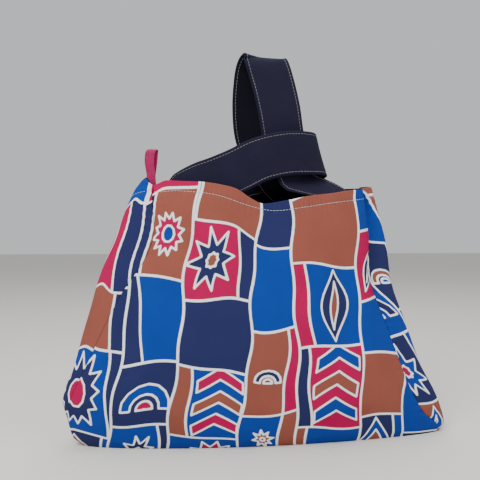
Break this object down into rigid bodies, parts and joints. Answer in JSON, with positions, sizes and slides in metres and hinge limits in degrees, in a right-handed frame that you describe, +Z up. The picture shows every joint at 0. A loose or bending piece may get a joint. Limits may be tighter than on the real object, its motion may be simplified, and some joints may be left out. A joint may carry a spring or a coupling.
{
  "type": "knitting project bag",
  "caption": "Soft lined cotton project bag with a wide base, a sagging open mouth and two strap loops, the long one passed up through the short one.",
  "frame": {"origin": "on the floor under the middle of the part's box", "axes": "+Z up, the front of the bag faces -Y, +X towards the end that carries the long handle"},
  "size_m": [0.4038, 0.0962, 0.3995],
  "materials": {
    "printed_cotton": "printed plain-weave cotton canvas, matt",
    "lining_cotton": "plain dark navy cotton, matt",
    "strap_cotton": "navy-black cotton twill, edge stitched",
    "tape": "crimson woven cotton tape"
  },
  "bodies": {
    "root": {"front_panel": "printed_cotton", "back_panel": "printed_cotton", "lining": "lining_cotton", "long_handle": "strap_cotton", "short_handle": "strap_cotton", "side_tab": "tape"}
  },
  "joints": []
}
